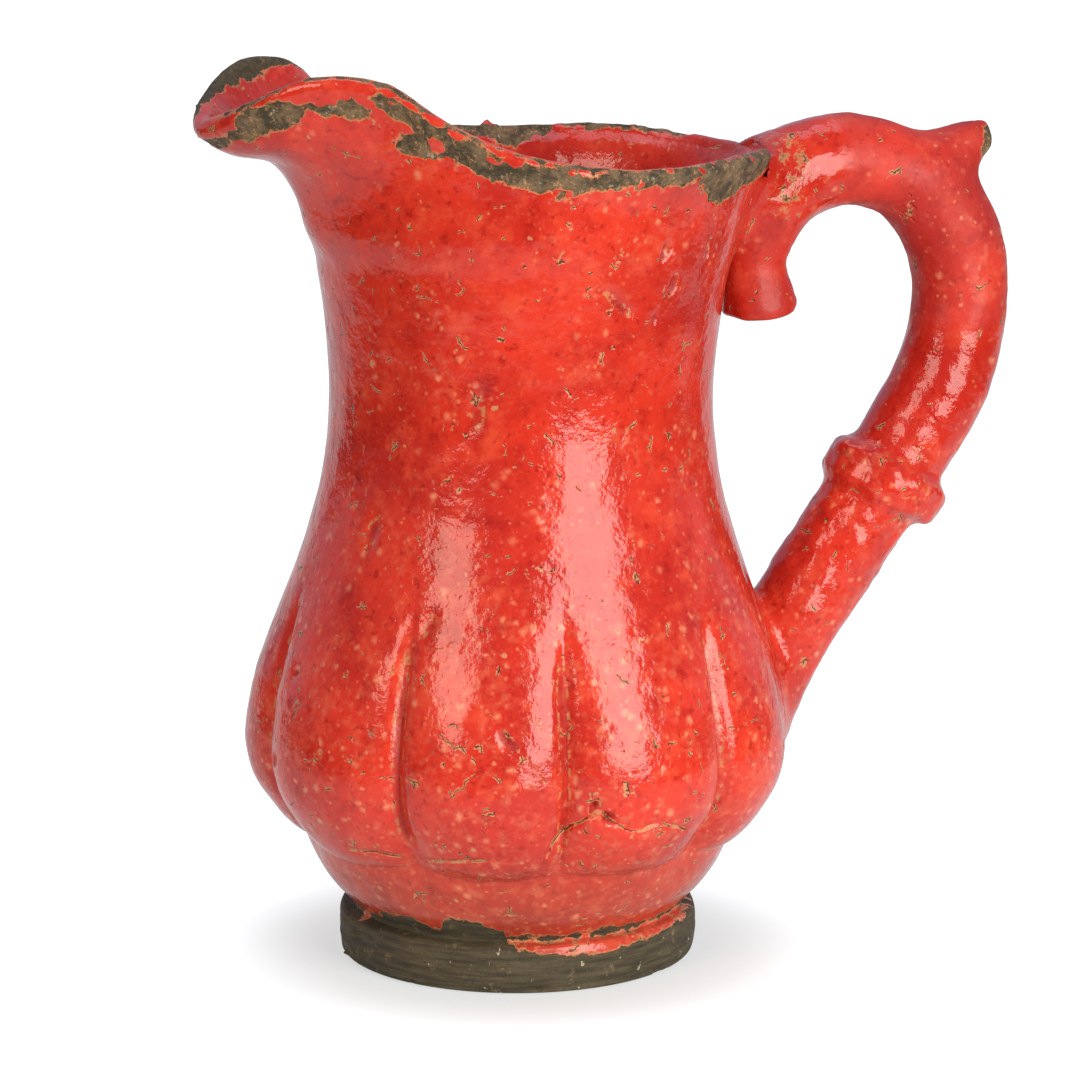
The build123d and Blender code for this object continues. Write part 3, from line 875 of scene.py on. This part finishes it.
def dots(g, vec, size, keep, reach, soft):
    """Scattered round spots: how much of a spot is here, and how much of its middle."""
    v = g.cells(vec, size)
    pick = g.node("ShaderNodeSeparateColor", {0: v.outputs["Color"]}).outputs
    here = g.math("GREATER_THAN", pick[0], keep)
    q = g.math("DIVIDE", v.outputs["Distance"], g.mul(g.add(pick[1], 0.4), reach))
    spot = g.mul(g.step(q, 1.0, soft), here)
    hole = g.mul(g.step(q, 0.55, 0.25), g.mul(here, g.math("GREATER_THAN", pick[2], 0.55)))
    return spot, hole


def pottery(name):
    """Red glaze over brown clay. The attribute "bare" says where the clay shows."""
    mat = bpy.data.materials.new(name)
    mat.use_nodes = True
    tree = mat.node_tree
    tree.nodes.clear()
    g = Graph(tree)
    vec = g.scale(g.node("ShaderNodeTexCoord").outputs["Object"], 1000.0)  # mm
    wander = g.node("ShaderNodeTexNoise", {"Vector": vec, "Scale": 0.55, "Detail": 2.0})
    drift = g.scale(wander.outputs["Color"], 1.8)
    warped = g.node("ShaderNodeVectorMath", {0: vec, 1: drift}, operation="ADD").outputs[0]

    # where the clay shows, and the thin tan line at the glaze's edge
    fray = g.add(g.mul(g.sub(g.noise(vec, 3.2, 5.0, 0.68), 0.5), 1.5), g.attribute("bare"))
    bare = g.step(fray, 0.47, 0.53)
    covered = g.sub(1.0, bare)
    outline = g.mul(g.step(fray, 0.26, 0.45), covered)

    # glaze colour: thick and thin, with crimson clouds
    cloud = g.noise(vec, 30.0, 3.0, 0.55)
    mottle = g.noise(vec, 8.0, 4.0, 0.62)
    fine = g.noise(vec, 1.6, 3.0, 0.6)
    glaze = g.mix(g.step(cloud, 0.34, 0.66), DEEP_RED, BRIGHT_RED)
    glaze = g.mix(g.mul(g.step(mottle, 0.50, 0.72), 0.70), glaze, ORANGE_RED)
    glaze = g.mix(g.mul(g.step(mottle, 0.46, 0.26), 0.60), glaze, CRIMSON)
    glaze = g.mix(g.mul(g.step(fine, 0.54, 0.72), 0.40), glaze, ORANGE_RED)
    pores = g.noise(vec, 2.6, 4.0, 0.65)
    glaze = g.mix(g.mul(g.step(pores, 0.44, 0.30), 0.65), glaze, CRIMSON)

    # painted shade: the neck is darkened crimson high on the handle side. Lower down the glaze turns
    # browner and darker over the cup
    across, deep, height = g.node("ShaderNodeSeparateXYZ", {0: vec}).outputs
    handle_side_shade = g.mul(g.step(across, 4.0, 26.0), g.step(height, 130.0, 165.0))
    glaze = g.mix(g.mul(handle_side_shade, g.add(g.mul(g.step(cloud, 0.70, 0.40), 0.35), 0.12)), glaze, CRIMSON)
    glaze = g.mix(g.mul(g.step(height, 46.0, 26.0), 0.34), glaze, CUP_BROWN)

    # pale spots under the glaze, thickest low on the belly
    crowd = g.noise(vec, 22.0, 2.0, 0.5)
    low = g.step(height, 150.0, 75.0)
    crowd = g.add(crowd, g.mul(low, 0.23))
    crowd = g.sub(crowd, 0.03)
    dapple = g.mul(g.step(g.noise(vec, 2.8, 2.0, 0.5), 0.46, 0.78), g.step(crowd, 0.44, 0.68))
    glaze = g.mix(g.mul(dapple, 0.26), glaze, PALE_SPOT)
    measles = g.mul(dots(g, warped, 4.2, 0.18, 0.31, 0.0)[0], g.step(crowd, 0.38, 0.58))
    small = g.mul(dots(g, vec, 2.4, 0.36, 0.28, 0.0)[0], g.step(crowd, 0.34, 0.60))
    glaze = g.mix(g.mul(measles, 0.85), glaze, PALE_SPOT)
    glaze = g.mix(g.mul(small, 0.55), glaze, PALE_SPOT)

    # burst bubbles: tan rims, some with a dark pit
    burst, pits = dots(g, warped, 8.5, 0.66, 0.10, 0.6)
    prick, pricks = dots(g, vec, 3.1, 0.86, 0.11, 0.6)
    # crawl marks: short wandering splits with tan edges
    net = g.cells(warped, 8.0, "DISTANCE_TO_EDGE").outputs["Distance"]
    gate = g.step(g.noise(vec, 5.2, 3.0, 0.6), 0.605, 0.640)
    split_rim = g.mul(g.step(net, 0.064, 0.030), gate)
    split = g.mul(g.step(net, 0.017, 0.006), gate)
    # the long cracks that are also cut into the mesh
    shiver = g.mul(g.sub(g.noise(vec, 1.3, 3.0, 0.6), 0.5), 0.7)
    along = g.math("ABSOLUTE", g.add(g.attribute("crack"), shiver))
    near = g.step(g.attribute("crack_near"), 0.35, 0.6)
    open_here = g.step(g.noise(vec, 4.5, 2.0, 0.6), 0.44, 0.56)
    crack_rim = g.mul(g.step(along, 0.62, 0.30), near)
    crack_rim = g.mul(crack_rim, g.step(g.noise(vec, 3.4, 3.0, 0.6), 0.36, 0.50))
    crack = g.mul(g.mul(g.step(along, 0.19, 0.05), near), g.mul(open_here, 0.85))
    dent_and_crease_shade = g.attribute("dent_and_crease_shade")
    pressed_shade = g.step(dent_and_crease_shade, 0.35, 1.1)
    brink = g.step(g.math("ABSOLUTE", g.sub(dent_and_crease_shade, 0.45)), 0.22, 0.06)
    lipped = g.mul(brink, g.step(g.noise(vec, 2.4, 3.0, 0.6), 0.48, 0.58))

    bubbles = g.top(g.mul(burst, 0.7), g.mul(prick, 0.6))
    tan_mark = g.top(bubbles, g.top(g.mul(split_rim, 0.75), g.mul(crack_rim, 0.8)))
    # painted shade: the deepest dents go near black, together with the real pits, splits and cracks
    deep_dent_shade = g.mul(g.step(dent_and_crease_shade, 1.5, 2.2), 0.8)
    pits_cracks_and_shade = g.top(g.top(pits, deep_dent_shade), g.top(pricks, g.top(split, crack)))
    # painted shade: dents and the lobes' grooves are turned crimson
    glaze = g.mix(g.mul(pressed_shade, 0.75), glaze, CRIMSON)
    glaze = g.mix(g.top(tan_mark, g.mul(lipped, 0.6)), glaze, TAN)
    glaze = g.mix(g.mul(pits_cracks_and_shade, 0.92), glaze, PIT_AND_SHADE)
    glaze = g.mix(g.mul(outline, 0.85), glaze, TAN)

    # bare clay: level turning marks, scuffed pale patches, chalky chips
    level = g.node("ShaderNodeMapping", {"Vector": vec, "Scale": (0.10, 0.10, 1.0)}).outputs[0]
    strokes = g.noise(level, 1.3, 5.0, 0.65)
    scuff = g.noise(vec, 4.0, 6.0, 0.72)
    upper = g.step(height, 60.0, 120.0)
    patchy = g.noise(vec, 1.5, 4.0, 0.7)
    tone = g.add(g.mul(strokes, g.sub(1.0, g.mul(upper, 0.8))), g.mul(patchy, g.mul(upper, 0.8)))
    clay = g.mix(g.step(tone, 0.30, 0.72), CLAY_DARK, CLAY_MID)
    worn = g.step(scuff, 0.56, 0.72)
    clay = g.mix(g.mul(worn, 0.55), clay, CLAY_PALE)
    # round the lip it is a warmer brown, but for the smoky far side of the spout
    streak = g.add(g.mul(g.noise(vec, 6.5, 5.0, 0.66), 0.7), g.mul(patchy, 0.3))
    rim = g.mix(g.step(streak, 0.40, 0.60), RIM_DARK, RIM_BROWN)
    rim = g.mix(g.mul(g.step(scuff, 0.58, 0.70), 0.55), rim, CHALK)
    vein = g.math("ABSOLUTE", g.sub(g.noise(warped, 4.4, 3.0, 0.6), 0.5))
    rim = g.mix(g.mul(g.step(vein, 0.020, 0.006), g.mul(g.step(patchy, 0.42, 0.58), 0.6)), rim, TAN)
    smoky = g.mul(g.step(deep, -8.0, 4.0), g.step(across, -40.0, -54.0))
    clay = g.mix(g.mul(upper, g.sub(1.0, g.mul(smoky, 0.92))), clay, rim)
    grit = g.noise(vec, 0.8, 3.0, 0.7)
    clay = g.mix(g.mul(g.step(grit, 0.56, 0.68), 0.6), clay, CLAY_DARK)
    chip = g.mul(g.step(g.noise(warped, 3.0, 4.0, 0.7), 0.655, 0.700), g.step(height, 30.0, 14.0))
    clay = g.mix(g.mul(chip, 0.8), clay, CHALK)
    colour = g.mix(bare, glaze, clay)

    # relief, mm
    skin = g.add(g.mul(g.noise(vec, 4.2, 3.0, 0.55), 0.34), g.mul(fine, 0.07))
    skin = g.add(skin, g.mul(measles, 0.05))
    skin = g.sub(skin, g.mul(pits_cracks_and_shade, 0.45))
    skin = g.sub(skin, g.mul(tan_mark, 0.10))
    rough_clay = g.add(g.mul(tone, 0.30), g.mul(grit, 0.34))
    relief = g.add(g.mul(skin, covered), g.mul(rough_clay, bare))
    relief = g.sub(relief, g.mul(g.step(fray, 0.40, 0.56), 0.55))  # the glaze's thickness at its edge
    bump = g.node("ShaderNodeBump", {"Height": relief, "Strength": 1.0, "Distance": 0.001})

    shine = g.add(g.mul(g.noise(vec, 3.6, 4.0, 0.6), 0.14), 0.06)
    shine = g.add(shine, g.mul(g.top(g.mul(g.top(tan_mark, outline), 0.6), pressed_shade), 0.42))
    # the glaze is rubbed satin where a hand goes round the arch of the handle
    held = g.mul(g.step(across, 80.0, 92.0), g.step(height, 164.0, 186.0))
    held = g.mul(held, g.add(g.mul(g.step(g.noise(vec, 9.0, 3.0, 0.6), 0.36, 0.60), 0.14), 0.50))
    hoof = g.mul(g.step(height, 200.0, 190.0), g.step(height, 158.0, 168.0))
    hoof = g.mul(g.step(across, 56.0, 62.0), hoof)
    held = g.top(held, g.mul(hoof, 0.46))
    rough = g.top(g.top(shine, held), g.mul(bare, 0.72))

    bsdf = g.node("ShaderNodeBsdfPrincipled", {"Base Color": colour, "Roughness": rough, "IOR": 1.5,
                                               "Specular IOR Level": 0.42, "Normal": bump.outputs[0]})
    g.node("ShaderNodeOutputMaterial", {0: bsdf.outputs[0]})
    return mat


glazed, unglazed = pottery("red_glaze_pottery"), pottery("bare_clay_pottery")
for ob in PIECES:
    ob.data.materials.clear()
    ob.data.materials.append(unglazed if ob.name.startswith("foot_ring") else glazed)


# ------------------------------------------------------------------ floor, camera, light
CAM_TURN, PITCH = math.radians(16.0), math.radians(11.47)
ca, sa = math.cos(CAM_TURN), math.sin(CAM_TURN)


def from_camera(right, forward, up):
    """Point given square to the camera's line of sight, in the frame."""
    return Vector((right * ca + forward * sa, -right * sa + forward * ca, up))


half = 14.0
floor_mesh = bpy.data.meshes.new("floor")
corners = [(-half, -half, 0), (half, -half, 0), (half, half, 0), (-half, half, 0)]
floor_mesh.from_pydata(corners, [], [(0, 1, 2, 3)])
floor = bpy.data.objects.new("floor", floor_mesh)
floor.location.z = -0.0002
bpy.context.scene.collection.objects.link(floor)
paper = bpy.data.materials.new("paper_floor")
paper.use_nodes = True
paper.node_tree.nodes.clear()
g = Graph(paper.node_tree)
spot = g.node("ShaderNodeTexCoord").outputs["Object"]
reach = g.node("ShaderNodeVectorMath", {0: spot}, operation="LENGTH").outputs["Value"]
back = g.dot(spot, from_camera(0, 1, 0))
side = g.dot(spot, from_camera(1, 0, 0))
wide = g.top(g.sub(g.math("ABSOLUTE", side), 0.19), 0.0)
# to the glaze the sheet is flagged off in front of the jug and at its sides, so the red keeps its depth
direct = g.node("ShaderNodeLightPath").outputs["Is Camera Ray"]
lit = g.step(g.sub(back, g.mul(wide, 1.5)), -0.50, -0.30)
lit = g.top(lit, direct)
# the sheet's glow dips within about 10 cm of the jug: a painted contact shadow round the foot
glow_with_painted_shadow = g.add(g.mul(g.step(reach, 0.048, 0.105), 0.46), 0.56)
glow_with_painted_shadow = g.mul(glow_with_painted_shadow, g.add(g.mul(direct, 0.50), 0.50))
grey = g.add(g.mul(lit, 0.36), 0.03)
# the floor's red is turned down so the jug's red bounce light leaves it grey
pale = g.node("ShaderNodeCombineColor", {0: g.mul(grey, 0.86), 1: grey, 2: grey}).outputs[0]
sheet = g.node("ShaderNodeBsdfPrincipled", {
    "Base Color": pale, "Roughness": 0.95, "Specular IOR Level": 0.0,
    "Emission Color": rgb(1, 1, 1), "Emission Strength": g.mul(glow_with_painted_shadow, lit),
})
g.node("ShaderNodeOutputMaterial", {0: sheet.outputs[0]})
floor_mesh.materials.append(paper)

cam_data = bpy.data.cameras.new("camera")
cam_data.sensor_width = 36.0
cam_data.lens = 147.67
cam_data.clip_end = 60
cam = bpy.data.objects.new("camera", cam_data)
cam.location = from_camera(0.0062, -1.150, 0.344)
sight = from_camera(0, math.cos(PITCH), -math.sin(PITCH))
cam.rotation_euler = sight.to_track_quat("-Z", "Y").to_euler()
bpy.context.scene.collection.objects.link(cam)
bpy.context.scene.camera = cam


def soft_box(name, azimuth, distance, low, high, width, radiance, colour):
    """Upright soft box: azimuth in degrees right of the camera, seen from the jug."""
    height = high - low
    d = bpy.data.lights.new(name, "AREA")
    d.shape = "RECTANGLE"
    d.size, d.size_y = width, height
    d.color = colour
    d.energy = radiance * math.pi * width * height
    o = bpy.data.objects.new(name, d)
    a = math.radians(azimuth)
    o.location = from_camera(distance * math.sin(a), -distance * math.cos(a), (low + high) / 2)
    aim = Vector((0, 0, 0.12))
    o.rotation_euler = (aim - o.location).to_track_quat("-Z", "Y").to_euler()
    bpy.context.scene.collection.objects.link(o)


soft_box("key", 37, 1.0, 0.00, 0.70, 0.64, 7.9, (1.0, 0.96, 0.90))
soft_box("fill", -36, 1.1, 0.31, 0.86, 0.46, 6.4, (1.0, 0.84, 0.70))
top_data = bpy.data.lights.new("top", "AREA")
top_data.shape = "DISK"
top_data.size = 0.8
top_data.energy = 3.6
top_data.color = (0.82, 0.86, 1.0)
top_light = bpy.data.objects.new("top", top_data)
top_light.location = from_camera(-0.1, 0.15, 1.3)
bpy.context.scene.collection.objects.link(top_light)

# bright paper behind the jug, a dimmer room in front of it
world = bpy.data.worlds.new("studio")
bpy.context.scene.world = world
world.use_nodes = True
world.node_tree.nodes.clear()
g = Graph(world.node_tree)
way = g.node("ShaderNodeTexCoord").outputs["Generated"]
ahead = g.dot(way, from_camera(0, 1, 0))
level = g.add(g.mul(g.step(ahead, -0.15, 0.60), 0.38), 0.15)
seen = g.node("ShaderNodeLightPath").outputs["Is Camera Ray"]
room = g.scale((0.86, 0.91, 1.16), level)
tint = g.mix(seen, room, rgb(1.05, 1.05, 1.05))
sky = g.node("ShaderNodeBackground", {"Color": tint, "Strength": 1.0})
g.node("ShaderNodeOutputWorld", {0: sky.outputs[0]})
bpy.context.scene.view_settings.view_transform = "Standard"
